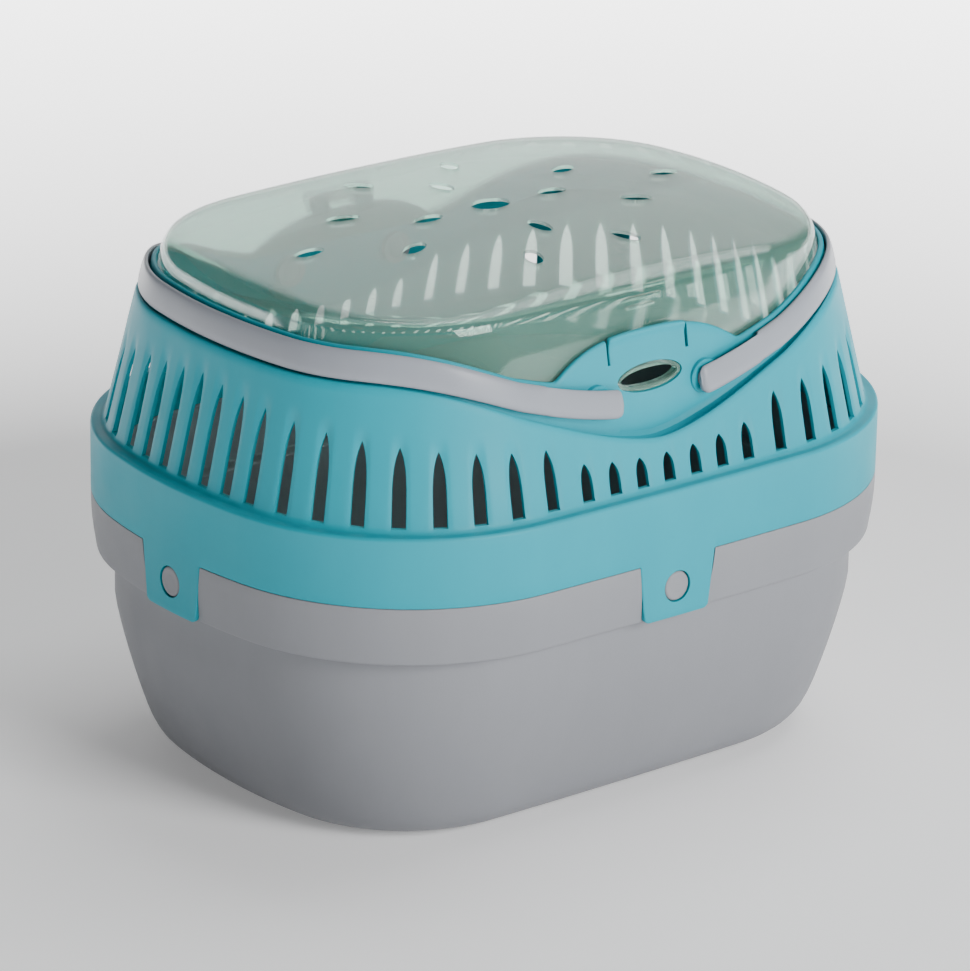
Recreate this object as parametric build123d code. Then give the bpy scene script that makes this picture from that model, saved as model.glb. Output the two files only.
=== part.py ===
"""Small pet carrier: a tub, a slotted housing that snaps on it, a clear domed lid and two swing-up handles.

Millimetres. +X is the long axis, -Y the front with the latch, +Z up, and the origin is the middle of the underside.
Every shell is one upright profile carried round the same plan, an oval of eight tangent arcs. A point of a
profile is written as (inset, height), where the inset is measured inwards from the plan.
"""

import os
from math import asin, atan2, cos, degrees, exp, hypot, pi, radians, sin, sqrt

from build123d import *

# Plan
LENGTH = 300.0
WIDTH = 230.0
SIDE_RADIUS = 2818.0
END_RADIUS = 249.0
CORNER_RADIUS = 87.0
CORE_INSET = 60.0

# Tub
JOINT_HEIGHT = 104.8
BAND_HEIGHT = 24.8
OGEE_HEIGHT = 18.0
FOOT_LEDGE = 8.9
TUB_LEAN = 17.5
FOOT_ROUND = 13.6
FOOT_ROUND_REACH = 4.0
BAND_LEAN = 1.5
TUB_WALL = 2.4
BAND_WALL = 4.7
FLOOR_RISE = 1.5
FOOT_WIDTH = 5.0
SPIGOT_HEIGHT = 7.0

# Housing
WALL = 2.2
BELT_HEIGHT = 27.2
LEDGE_WALL = 2.6
WALL_INSET = 4.9
WALL_LEAN = 0.245
RIB_FLARE = 4.4
FLARE_HEIGHT = 16.0
RIM_LOW = 150.0
RIM_RISE = 34.0
RIM_WALL = 2.2
RIM_EDGE = 0.4
COLLAR_INSET = 18.0
COLLAR_WALL = 2.0
COLLAR_LEAN_START = 160.0
COLLAR_LEAN = 0.0468
COLLAR_LOW = 170.0
COLLAR_RISE = 26.0
ARCH_TOP = 188.5
ARCH_HALF = 43.0
ARCH_DROP = 11.0

# Air slots and the flutes that they sit in
SHORT_SLOTS = 3
SHORT_PITCH = 12.8
LONG_SLOTS = 12
SLOT_WIDTH = 5.3
SLOT_RISE = 1.6
SHORT_SLOT_TOP = 144.4
LONG_SLOT_TOP = 155.5
SLOT_TOP_GAIN = 16.0
FLUTE_DEPTH = 6.5
FLUTE_RADIUS = 5.4
FLUTE_RUNOUT = 5.0

# Snap tabs and studs
TAB_THICKNESS = 2.1
TAB_HALF_ROOT = 18.3
TAB_HALF_TIP = 15.4
TAB_DROP = 24.9
TAB_ROOT_RISE = 1.6
STUD_RADIUS = 5.8
STUD_DROP = 11.3
STUD_SINK = 0.3
STUD_CLEARANCE = 0.4

# Handles
HANDLE_HEIGHT = 10.8
HANDLE_LOW = 158.3
HANDLE_RISE = 26.5
HANDLE_GAP = 0.6
HANDLE_LONG_END = 15.5
HANDLE_SHORT_END = 21.5
PIVOT_X = 26.0
PIVOT_HEIGHT = 166.1
PEG_RADIUS = 4.0
BOSS_RADIUS = 6.6
BOSS_FACE = 97.6
BOSS_BACK = 93.2
CAP_RADIUS = 6.4
CAP_THICKNESS = 2.0

# Lid
LID_WALL = 2.0
LID_GAP = 0.5
LID_OVERLAP = 2.0
LID_TOP = 213.0
CROWN_RADIUS_X = 1230.0
CROWN_RADIUS_Y = 650.0
SHOULDER_HEIGHT = 199.7
SHOULDER_DROP = 15.5
TONGUE_HALF = 16.5
TONGUE_LOW = 163.5
LID_MIDDLE_LOW = 175.0
VENT_LENGTH = 13.0
VENT_WIDTH = 4.8
MIDDLE_VENT_LENGTH = 19.0
INNER_RING = 30.0
OUTER_RING = 58.0
END_VENT = 86.0
NOSE_HEIGHT = 171.0
NOSE_HALF_LENGTH = 15.5
NOSE_HALF_HEIGHT = 5.5
NOSE_WALL = 1.5
NOSE_CLEARANCE = 0.5
GRIP_LENGTHS = (30.0, 21.0, 14.0)
GRIP_TOP = 202.8
GRIP_PITCH = 3.1
GRIP_RADIUS = 0.9

# Latch tab in the front panel
LATCH_HALF = 18.4
LATCH_SLIT = 1.1
LATCH_ROOT = 178.4
LATCH_RISE = 0.8
LATCH_BARREL = 1.2

# Hinge
HINGE_Y = 97.0
HINGE_HEIGHT = 192.4
HINGE_RADIUS = 3.2
HINGE_PIN_RADIUS = 1.6
HINGE_MIDDLE_HALF = 6.6
HINGE_END_WIDTH = 7.2
HINGE_SIDE_GAP = 0.4
HINGE_HEAD_RADIUS = 2.5
HINGE_HEAD = 1.0

RUNNING_CLEARANCE = 0.05
CLEARANCE = 0.3

JOINT_RISE = JOINT_HEIGHT + BELT_HEIGHT
BAND_LOW = JOINT_HEIGHT - BAND_HEIGHT
OGEE_LOW = BAND_LOW - OGEE_HEIGHT
HALF_LENGTH = LENGTH / 2
HALF_WIDTH = WIDTH / 2


def corner_centre():
    """Centre of the corner arc in the +X +Y quarter: tangent inside the back arc and the right end arc."""
    side = (0.0, HALF_WIDTH - SIDE_RADIUS)
    end = (HALF_LENGTH - END_RADIUS, 0.0)
    side_reach = SIDE_RADIUS - CORNER_RADIUS
    end_reach = END_RADIUS - CORNER_RADIUS
    apart = hypot(end[0] - side[0], end[1] - side[1])
    along = (side_reach**2 - end_reach**2 + apart**2) / (2 * apart)
    across = sqrt(side_reach**2 - along**2)
    ux = (end[0] - side[0]) / apart
    uy = (end[1] - side[1]) / apart
    return (side[0] + along * ux + across * uy, side[1] + along * uy - across * ux)


def plan_arcs():
    """The eight arcs of the plan, anticlockwise from the right end: centre x, centre y, radius, start, sweep."""
    cx, cy = corner_centre()
    end_half = degrees(atan2(cy, cx - (HALF_LENGTH - END_RADIUS)))
    side_half = degrees(atan2(cx, cy - (HALF_WIDTH - SIDE_RADIUS)))
    corner = 90 - end_half - side_half
    end_x = HALF_LENGTH - END_RADIUS
    side_y = HALF_WIDTH - SIDE_RADIUS
    return [
        (end_x, 0.0, END_RADIUS, -end_half, 2 * end_half),
        (cx, cy, CORNER_RADIUS, end_half, corner),
        (0.0, side_y, SIDE_RADIUS, 90 - side_half, 2 * side_half),
        (-cx, cy, CORNER_RADIUS, 90 + side_half, corner),
        (-end_x, 0.0, END_RADIUS, 180 - end_half, 2 * end_half),
        (-cx, -cy, CORNER_RADIUS, 180 + end_half, corner),
        (0.0, -side_y, SIDE_RADIUS, 270 - side_half, 2 * side_half),
        (cx, -cy, CORNER_RADIUS, 270 + side_half, corner),
    ]


def profile(radius, pieces):
    """Upright face of a closed profile, its plan at the given radius from the Z axis."""
    edges = []
    for points in pieces:
        places = [(radius - inset, 0, height) for inset, height in points]
        edges.append(Line(*places) if len(places) == 2 else Spline(*places))
    return make_face(Wire(edges))


def ring(pieces):
    """The closed profile carried all round the plan."""
    sectors = []
    for cx, cy, radius, start, sweep in plan_arcs():
        sector = revolve(profile(radius, pieces), Axis.Z, revolution_arc=sweep)
        sectors.append(Location((cx, cy, 0), (0, 0, start)) * sector)
    return sectors[0].fuse(*sectors[1:]).clean()


def plan_face(inset):
    """Flat face of the plan, moved inwards, at height zero."""
    edges = []
    for cx, cy, radius, start, sweep in plan_arcs():
        edges.append(CenterArc((cx, cy), radius - inset, start, sweep))
    return make_face(Wire(edges))


def core(inset, low, high):
    """Upright block inside the given inset, which closes the middle of a ring."""
    return extrude(Pos(0, 0, low) * plan_face(inset), high - low)


def heights(low, high, count):
    """Evenly spaced heights, both ends included."""
    return [low + (high - low) * i / (count - 1) for i in range(count)]


def curve(inset, low, high, count=7):
    """Points of a profile curve whose inset is a function of the height."""
    return [(inset(z), z) for z in heights(low, high, count)]


def tub_inset(z):
    """Outer face of the tub below the ogee: a leaning wall that rounds under to the foot."""
    share = max(0.0, 1 - z / OGEE_LOW)
    return FOOT_LEDGE + TUB_LEAN * share**1.25 + FOOT_ROUND * exp(-z / FOOT_ROUND_REACH)


def wall_inset(z):
    """Outer face of the slotted wall: it leans in, and its ribs flare out over the belt."""
    share = min(1.0, (z - JOINT_RISE) / FLARE_HEIGHT)
    return WALL_INSET + WALL_LEAN * (z - JOINT_RISE) - RIB_FLARE * (1 - share**2) ** 2


def collar_inset(z):
    """Outer face of the collar inside the rim."""
    return COLLAR_INSET + COLLAR_LEAN * max(0.0, z - COLLAR_LEAN_START) ** 1.34


def lid_inset(z):
    """Outer face of the lid's skirt, just inside the collar."""
    return collar_inset(z) + COLLAR_WALL + LID_GAP


def wave(x, power):
    """Rise of the saddle-shaped lines, from 0 in the middle of the sides to 1 at the ends."""
    return sin(pi * min(abs(x), HALF_LENGTH * 0.88) / (2 * HALF_LENGTH * 0.88)) ** power


def rim_line(x):
    """Upper edge of the slotted wall."""
    return RIM_LOW + RIM_RISE * wave(x, 1.6)


def handle_line(x):
    """Lower edge of the handles at rest."""
    return HANDLE_LOW + HANDLE_RISE * wave(x, 2)


def collar_line(x):
    """Upper edge of the collar beside the arched panels."""
    return COLLAR_LOW + COLLAR_RISE * wave(x, 2)


def arch_line(x):
    """Upper edge of the arched panels in the middle of the front and the back."""
    return ARCH_TOP - ARCH_DROP * abs(x / ARCH_HALF) ** 2.9


def saddle(low, high, reach=1.05, low_shift=0.0, high_shift=0.0, count=61):
    """Block along Y between two lines over X, which trims a ring to a saddle-shaped edge."""
    span = HALF_LENGTH * reach
    xs = [-span + 2 * span * i / (count - 1) for i in range(count)]
    under = [(x, 0, low(x) + low_shift) for x in xs]
    over = [(x, 0, high(x) + high_shift) for x in xs]
    edges = [Spline(*under), Line(under[-1], over[-1]), Spline(*over), Line(over[0], under[0])]
    return extrude(make_face(Wire(edges)), WIDTH, both=True)


def block(x0, x1, y0, y1, z0, z1):
    """Upright block between two corners."""
    return Pos((x0 + x1) / 2, (y0 + y1) / 2, (z0 + z1) / 2) * Box(x1 - x0, y1 - y0, z1 - z0)


def rod(radius, start, end):
    """Round rod between two points."""
    axis = Vector(*end) - Vector(*start)
    return Plane(origin=start, z_dir=axis) * Cylinder(
        radius, axis.length, align=(Align.CENTER, Align.CENTER, Align.MIN)
    )


def upright_oval(half_length, half_height, z, y0, y1):
    """Elliptical plug along Y, between two places on it."""
    face = Plane(origin=(0, y0, z), x_dir=(1, 0, 0), z_dir=(0, 1, 0)) * Ellipse(half_length, half_height)
    return extrude(face, y1 - y0)


def turned(shape):
    """The shape turned half a turn about the upright axis."""
    return Rot(0, 0, 180) * shape


def on_side(shape, side):
    """A shape made at the front, moved to one of the four sides: front, right, back or left."""
    turn = {"front": 0, "right": 90, "back": 180, "left": 270}[side]
    reach = HALF_LENGTH if side in ("left", "right") else HALF_WIDTH
    return Rot(0, 0, turn) * Pos(0, HALF_WIDTH - reach, 0) * shape


def snap_tab():
    """Front snap tab: a flat tongue with a round root and a hole for the stud."""
    root = JOINT_HEIGHT + TAB_ROOT_RISE
    tip = JOINT_HEIGHT - TAB_DROP + TAB_ROOT_RISE
    outer = -HALF_WIDTH + RUNNING_CLEARANCE
    outline = Polyline(
        (-TAB_HALF_ROOT, 0, root), (TAB_HALF_ROOT, 0, root), (TAB_HALF_TIP, 0, tip), (-TAB_HALF_TIP, 0, tip),
        close=True,
    )
    plate = extrude(Pos(0, outer, 0) * make_face(Wire(outline.edges())), TAB_THICKNESS, dir=(0, 1, 0))
    barrel_y = outer + TAB_THICKNESS / 2
    barrel = rod(TAB_THICKNESS / 2, (-TAB_HALF_ROOT, barrel_y, root), (TAB_HALF_ROOT, barrel_y, root))
    stud_z = JOINT_HEIGHT - STUD_DROP
    hole = rod(STUD_RADIUS + STUD_CLEARANCE, (0, outer - 5, stud_z), (0, outer + 5, stud_z))
    return plate + barrel - hole


def tab_pocket():
    """Recess in the tub's band behind the front snap tab, open to the front."""
    root = JOINT_HEIGHT + TAB_ROOT_RISE + SPIGOT_HEIGHT
    tip = JOINT_HEIGHT - TAB_DROP + TAB_ROOT_RISE - CLEARANCE
    side = (TAB_HALF_ROOT - TAB_HALF_TIP) / TAB_DROP
    top = TAB_HALF_ROOT + side * (root - JOINT_HEIGHT - TAB_ROOT_RISE) + CLEARANCE
    bottom = TAB_HALF_TIP - side * CLEARANCE + CLEARANCE
    outline = Polyline((-top, 0, root), (top, 0, root), (bottom, 0, tip), (-bottom, 0, tip), close=True)
    depth = RUNNING_CLEARANCE + TAB_THICKNESS + CLEARANCE
    face = Pos(0, -HALF_WIDTH + depth, 0) * make_face(Wire(outline.edges()))
    return extrude(face, depth + 5, dir=(0, -1, 0))


def tub():
    """Lower shell with its foot, rim band, spigot and studs."""
    floor_top = FLOOR_RISE + TUB_WALL
    foot = tub_inset(0)
    skin = curve(tub_inset, 0, OGEE_LOW, 9)
    low = tub_inset(OGEE_LOW)
    ogee = [
        (low, OGEE_LOW),
        (low - 0.12 * (low - BAND_LEAN), OGEE_LOW + 0.26 * OGEE_HEIGHT),
        (low - 0.55 * (low - BAND_LEAN), OGEE_LOW + 0.57 * OGEE_HEIGHT),
        (low - 0.88 * (low - BAND_LEAN), OGEE_LOW + 0.84 * OGEE_HEIGHT),
        (BAND_LEAN, BAND_LOW),
    ]
    band_square = BAND_LOW + BAND_HEIGHT / 2
    spigot = WALL + CLEARANCE
    spigot_top = JOINT_HEIGHT + SPIGOT_HEIGHT
    inner = [(tub_inset(z) + TUB_WALL, z) for z in heights(floor_top + 2, OGEE_LOW, 6)]
    inner_ogee = [
        inner[-1],
        (BAND_WALL + 0.42 * (low + TUB_WALL - BAND_WALL), OGEE_LOW + 0.6 * OGEE_HEIGHT),
        (BAND_WALL, BAND_LOW + 2),
    ]
    foot_inner = foot + FOOT_WIDTH
    shell = ring([
        [(CORE_INSET, FLOOR_RISE), (foot_inner, FLOOR_RISE)],
        [(foot_inner, FLOOR_RISE), (foot_inner - FLOOR_RISE, 0)],
        [(foot_inner - FLOOR_RISE, 0), (foot, 0)],
        skin,
        ogee,
        [(BAND_LEAN, BAND_LOW), (0, band_square)],
        [(0, band_square), (0, JOINT_HEIGHT)],
        [(0, JOINT_HEIGHT), (spigot, JOINT_HEIGHT)],
        [(spigot, JOINT_HEIGHT), (spigot, spigot_top)],
        [(spigot, spigot_top), (BAND_WALL, spigot_top)],
        [(BAND_WALL, spigot_top), (BAND_WALL, BAND_LOW + 2)],
        inner_ogee[::-1],
        inner[::-1],
        [inner[0], (inner[0][0] + 3, floor_top)],
        [(inner[0][0] + 3, floor_top), (CORE_INSET, floor_top)],
        [(CORE_INSET, floor_top), (CORE_INSET, FLOOR_RISE)],
    ])
    body = shell + core(CORE_INSET, FLOOR_RISE, floor_top)
    stud_z = JOINT_HEIGHT - STUD_DROP
    depth = RUNNING_CLEARANCE + TAB_THICKNESS + CLEARANCE
    stud = rod(STUD_RADIUS, (0, -HALF_WIDTH + STUD_SINK, stud_z), (0, -HALF_WIDTH + depth + 1, stud_z))
    for side in ("front", "right", "back", "left"):
        body = body - on_side(tab_pocket(), side) + on_side(stud, side)
    return body


def slot_places():
    """Place, inward direction and top height of every air slot in the +X +Y quarter, from the middle of the back."""
    inset = FLUTE_DEPTH
    cx, cy = corner_centre()
    arcs = plan_arcs()
    side = radians(arcs[2][4] / 2) * (SIDE_RADIUS - inset)
    corner = radians(arcs[1][4]) * (CORNER_RADIUS - inset)
    end = radians(arcs[0][4] / 2) * (END_RADIUS - inset)
    quarter = side + corner + end
    long_start = SHORT_PITCH * SHORT_SLOTS
    long_pitch = (quarter - long_start) / LONG_SLOTS
    run = [SHORT_PITCH * i for i in range(SHORT_SLOTS + 1)]
    run += [long_start + long_pitch * (i + 1) for i in range(LONG_SLOTS)]
    places = []
    for i, s in enumerate(run):
        if s <= side:
            angle = pi / 2 - s / (SIDE_RADIUS - inset)
            px, py, radius = 0.0, HALF_WIDTH - SIDE_RADIUS, SIDE_RADIUS
        elif s <= side + corner:
            angle = radians(arcs[1][3] + arcs[1][4]) - (s - side) / (CORNER_RADIUS - inset)
            px, py, radius = cx, cy, CORNER_RADIUS
        else:
            angle = radians(arcs[0][4] / 2) - (s - side - corner) / (END_RADIUS - inset)
            px, py, radius = HALF_LENGTH - END_RADIUS, 0.0, END_RADIUS
        if i <= SHORT_SLOTS:
            top = SHORT_SLOT_TOP + 0.35 * i**2
        else:
            top = LONG_SLOT_TOP + SLOT_TOP_GAIN * (i - SHORT_SLOTS - 1) / (LONG_SLOTS - 1)
        places.append((px + radius * cos(angle), py + radius * sin(angle), degrees(angle), top))
    return places


def slot_cutters(x, y, angle, top):
    """Flute and slot at one place of the plan, with the angle of its outward direction."""
    low = JOINT_RISE
    here = Location((x, y, 0), (0, 0, angle + 90))
    runout = top + FLUTE_RUNOUT
    lean = wall_inset(runout) - FLUTE_DEPTH
    flute_face = Pos(0, FLUTE_DEPTH - FLUTE_RADIUS, low) * Circle(FLUTE_RADIUS)
    flute = extrude(flute_face, amount=hypot(lean, runout - low), dir=(0, lean, runout - low))
    half = SLOT_WIDTH / 2
    base = low + SLOT_RISE
    rise = top - base
    left = ThreePointArc((-half, 0, base), (-0.8 * half, 0, base + 0.6 * rise), (0, 0, top))
    right = ThreePointArc((half, 0, base), (0.8 * half, 0, base + 0.6 * rise), (0, 0, top))
    face = make_face(Wire([Line((-half, 0, base), (half, 0, base)), left, right]))
    slot = extrude(face, 30, dir=(0, 1, 0))
    return [here * flute, here * slot]


def slotted_wall():
    """Belt, ledge and fluted wall up to the saddle-shaped rim."""
    high = RIM_LOW + RIM_RISE + 4
    belt_round = 1.2
    inner_low = FLUTE_DEPTH + WALL + 0.4
    merge = JOINT_RISE + (inner_low - WALL - WALL_INSET) / WALL_LEAN
    ledge_low = JOINT_RISE - LEDGE_WALL
    shell = ring([
        [(0, JOINT_HEIGHT), (0, JOINT_RISE - belt_round)],
        [(0, JOINT_RISE - belt_round), (wall_inset(JOINT_RISE), JOINT_RISE)],
        curve(wall_inset, JOINT_RISE, JOINT_RISE + FLARE_HEIGHT, 6),
        [(wall_inset(JOINT_RISE + FLARE_HEIGHT), JOINT_RISE + FLARE_HEIGHT), (wall_inset(high), high)],
        [(wall_inset(high), high), (wall_inset(high) + WALL, high)],
        [(wall_inset(high) + WALL, high), (wall_inset(merge) + WALL, merge)],
        [(wall_inset(merge) + WALL, merge), (inner_low, merge - 0.5)],
        [(inner_low, merge - 0.5), (inner_low, ledge_low)],
        [(inner_low, ledge_low), (WALL, ledge_low)],
        [(WALL, ledge_low), (WALL, JOINT_HEIGHT)],
        [(WALL, JOINT_HEIGHT), (0, JOINT_HEIGHT)],
    ])
    tools = []
    for x, y, angle, top in slot_places():
        quarters = {(x, y, angle), (-x, y, 180 - angle), (x, -y, -angle), (-x, -y, 180 + angle)}
        spots = {}
        for px, py, turn in quarters:
            spots[(round(px, 3), round(py, 3))] = (px, py, turn)
        for px, py, turn in spots.values():
            tools += slot_cutters(px, py, turn, top)
    shell = shell - tools
    return shell & saddle(lambda x: 0, rim_line, high_shift=-RIM_EDGE)


def panel_pivots(radius, near, far):
    """Four rods along Y at the handle pivots, from one distance off the middle to another."""
    rods = []
    for x in (-PIVOT_X, PIVOT_X):
        for y in (-1, 1):
            rods.append(rod(radius, (x, y * near, PIVOT_HEIGHT), (x, y * far, PIVOT_HEIGHT)))
    return rods


def latch_axis():
    """How far the root axis of the latch tab lies from the middle: half way through the collar's wall."""
    return HALF_WIDTH - collar_inset(LATCH_ROOT) - COLLAR_WALL / 2


def latch_space(gap):
    """Upright block round the latch tab above its root, widened by a gap at its sides."""
    half = LATCH_HALF + gap
    return block(-half, half, -HALF_WIDTH, -HALF_WIDTH + COLLAR_INSET + 14, LATCH_ROOT, ARCH_TOP + 5)


def latch_barrel(gap):
    """Round root of the latch tab, grown by a gap."""
    half = LATCH_HALF + gap
    return rod(LATCH_BARREL + gap, (-half, -latch_axis(), LATCH_ROOT), (half, -latch_axis(), LATCH_ROOT))


def panel_face(z):
    """How far the outer face of the arched panels lies from the middle, at a height."""
    return HALF_WIDTH - collar_inset(z)


def collar_skin(high):
    """Ring of the collar, untrimmed."""
    low = RIM_LOW - RIM_WALL
    outer = curve(collar_inset, COLLAR_LEAN_START, high, 6)
    return ring([
        [(COLLAR_INSET, low), outer[0]],
        outer,
        [outer[-1], (outer[-1][0] + COLLAR_WALL, high)],
        [(inset + COLLAR_WALL, z) for inset, z in outer[::-1]],
        [(COLLAR_INSET + COLLAR_WALL, COLLAR_LEAN_START), (COLLAR_INSET + COLLAR_WALL, low)],
        [(COLLAR_INSET + COLLAR_WALL, low), (COLLAR_INSET, low)],
    ])


def hinge_knuckle(x0, x1):
    """Round knuckle on the hinge axis between two places along X."""
    return rod(HINGE_RADIUS, (x0, HINGE_Y, HINGE_HEIGHT), (x1, HINGE_Y, HINGE_HEIGHT))


def hinge_webs():
    """The two outer knuckles of the lid's hinge, each on a web that rises from the back panel."""
    foot_z = ARCH_TOP - 8
    crest = ARCH_TOP - 1
    outline = Polyline(
        (0, panel_face(foot_z) - 0.5, foot_z), (0, HINGE_Y + HINGE_RADIUS, HINGE_HEIGHT),
        (0, HINGE_Y - HINGE_RADIUS, HINGE_HEIGHT), (0, panel_face(crest) - 1, crest), close=True,
    )
    web = extrude(make_face(Wire(outline.edges())), HINGE_END_WIDTH, dir=(1, 0, 0))
    inner = HINGE_MIDDLE_HALF + HINGE_SIDE_GAP
    outer = inner + HINGE_END_WIDTH
    right = Pos(inner, 0, 0) * web + hinge_knuckle(inner, outer)
    left = Pos(-outer, 0, 0) * web + hinge_knuckle(-outer, -inner)
    return [right, left]


def collar():
    """Collar inside the rim, with the arched panels, the latch cut-outs, pivot bosses and hinge knuckles."""
    trim = saddle(rim_line, lambda x: max(collar_line(x), arch_line(x)), low_shift=-RIM_WALL / 2)
    body = collar_skin(COLLAR_LOW + COLLAR_RISE + 4) & trim
    face = panel_face(NOSE_HEIGHT)
    body = body - upright_oval(NOSE_HALF_LENGTH, NOSE_HALF_HEIGHT, NOSE_HEIGHT, -face - 6, -face + 6)
    body = body - latch_space(LATCH_SLIT)
    body = body - latch_barrel(RUNNING_CLEARANCE)
    body = body + panel_pivots(BOSS_RADIUS, BOSS_BACK, BOSS_FACE)
    body = body - panel_pivots(PEG_RADIUS, BOSS_BACK - 5, BOSS_FACE + 5)
    body = body + hinge_webs()
    reach = HINGE_MIDDLE_HALF + HINGE_END_WIDTH + 5
    return body - rod(HINGE_PIN_RADIUS, (-reach, HINGE_Y, HINGE_HEIGHT), (reach, HINGE_Y, HINGE_HEIGHT))


def rim_ledge():
    """Saddle-shaped ledge from the middle of the slotted wall's thickness to the middle of the collar's."""
    high = RIM_LOW + RIM_RISE + 6
    low = RIM_LOW - RIM_WALL - 3
    front_low = WALL_INSET + WALL_LEAN * (low - JOINT_RISE) + WALL / 2
    front_high = wall_inset(high) + WALL / 2
    back_low = COLLAR_INSET + COLLAR_WALL / 2
    back_high = collar_inset(high) + COLLAR_WALL / 2
    slab = ring([
        [(front_low, low), (front_high, high)],
        [(front_high, high), (back_high, high)],
        [(back_high, high), (back_low, COLLAR_LEAN_START)],
        [(back_low, COLLAR_LEAN_START), (back_low, low)],
        [(back_low, low), (front_low, low)],
    ])
    return slab & saddle(rim_line, rim_line, low_shift=-RIM_WALL)


def housing():
    """Upper shell: slotted wall, rim ledge and collar."""
    body = slotted_wall() + rim_ledge() + collar()
    for side in ("front", "right", "back", "left"):
        body = body - on_side(tab_notch(), side)
    return body


def tab_notch():
    """Cut in the belt's lower edge for the root of the front snap tab."""
    root = JOINT_HEIGHT + TAB_ROOT_RISE
    half = TAB_HALF_ROOT + CLEARANCE
    radius = TAB_THICKNESS / 2 + RUNNING_CLEARANCE
    y = -HALF_WIDTH + radius
    outer = -HALF_WIDTH - 5
    inner = -HALF_WIDTH + 6
    low = JOINT_HEIGHT - 5
    edges = [
        Line((-half, outer, low), (-half, outer, root + radius)),
        Line((-half, outer, root + radius), (-half, y, root + radius)),
        ThreePointArc(
            (-half, y, root + radius),
            (-half, y + radius * sin(pi / 4), root + radius * cos(pi / 4)),
            (-half, y + radius, root),
        ),
        Line((-half, y + radius, root), (-half, inner, root)),
        Line((-half, inner, root), (-half, inner, low)),
        Line((-half, inner, low), (-half, outer, low)),
    ]
    return extrude(make_face(Wire(edges)), 2 * half, dir=(1, 0, 0))


def latch_tab():
    """Springy tab between the two slits of the front panel, with a round root."""
    skin = collar_skin(ARCH_TOP + LATCH_RISE + 1) & latch_space(0)
    tab = skin & saddle(lambda x: LATCH_ROOT - 5, lambda x: arch_line(x) + LATCH_RISE, reach=0.3)
    return tab + latch_barrel(0)


def dome(extra):
    """Solid shape under the lid's outer face, moved inwards by the extra."""
    edge = lid_inset(SHOULDER_HEIGHT) + extra
    low = TONGUE_LOW - 10
    skirt = [(lid_inset(z) + extra, z) for z in heights(COLLAR_LEAN_START, SHOULDER_HEIGHT, 6)]
    top = LID_TOP - extra - 2.4
    rise = top - SHOULDER_HEIGHT
    shoulder = [skirt[-1]]
    for turn in (22.5, 45, 67.5, 90):
        across = SHOULDER_DROP * (1 - cos(radians(turn)))
        shoulder.append((edge + across + 0.24 * rise * sin(radians(turn)), SHOULDER_HEIGHT + rise * sin(radians(turn))))
    flat = shoulder[-1][0]
    body = ring([
        [(skirt[0][0], low), skirt[0]],
        skirt,
        shoulder,
        [shoulder[-1], (CORE_INSET, top)],
        [(CORE_INSET, top), (CORE_INSET, low)],
        [(CORE_INSET, low), (skirt[0][0], low)],
    ])
    high = LID_TOP - extra + 1
    middle = core(flat, SHOULDER_HEIGHT, high)
    body = body + core(CORE_INSET, low, top) + middle
    return body & crown(extra)


def crown(extra):
    """Shallow barrel-shaped block that rounds the top of the lid."""
    top = LID_TOP - extra
    arc = ThreePointArc(
        (-HALF_LENGTH, 0, top - (CROWN_RADIUS_X - sqrt(CROWN_RADIUS_X**2 - HALF_LENGTH**2))),
        (0, 0, top),
        (HALF_LENGTH, 0, top - (CROWN_RADIUS_X - sqrt(CROWN_RADIUS_X**2 - HALF_LENGTH**2))),
    )
    low = TONGUE_LOW - 20
    face = make_face(Wire([
        arc,
        Line(arc @ 1, (HALF_LENGTH, 0, low)),
        Line((HALF_LENGTH, 0, low), (-HALF_LENGTH, 0, low)),
        Line((-HALF_LENGTH, 0, low), arc @ 0),
    ]))
    axis = Axis((0, 0, top - CROWN_RADIUS_Y), (1, 0, 0))
    half = degrees(asin(HALF_WIDTH / CROWN_RADIUS_Y))
    return revolve(face.rotate(axis, -half), axis, revolution_arc=2 * half)


def vent(x, y, angle, length):
    """Elliptical vent through the lid's top, long along the given direction."""
    face = Pos(x, y, LID_TOP - 30) * Rot(0, 0, angle) * Ellipse(length / 2, VENT_WIDTH / 2)
    return extrude(face, 40)


def lid_low_front(x):
    """Lower edge of the lid's front half."""
    return max(collar_line(x) - LID_OVERLAP, LID_MIDDLE_LOW)


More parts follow.
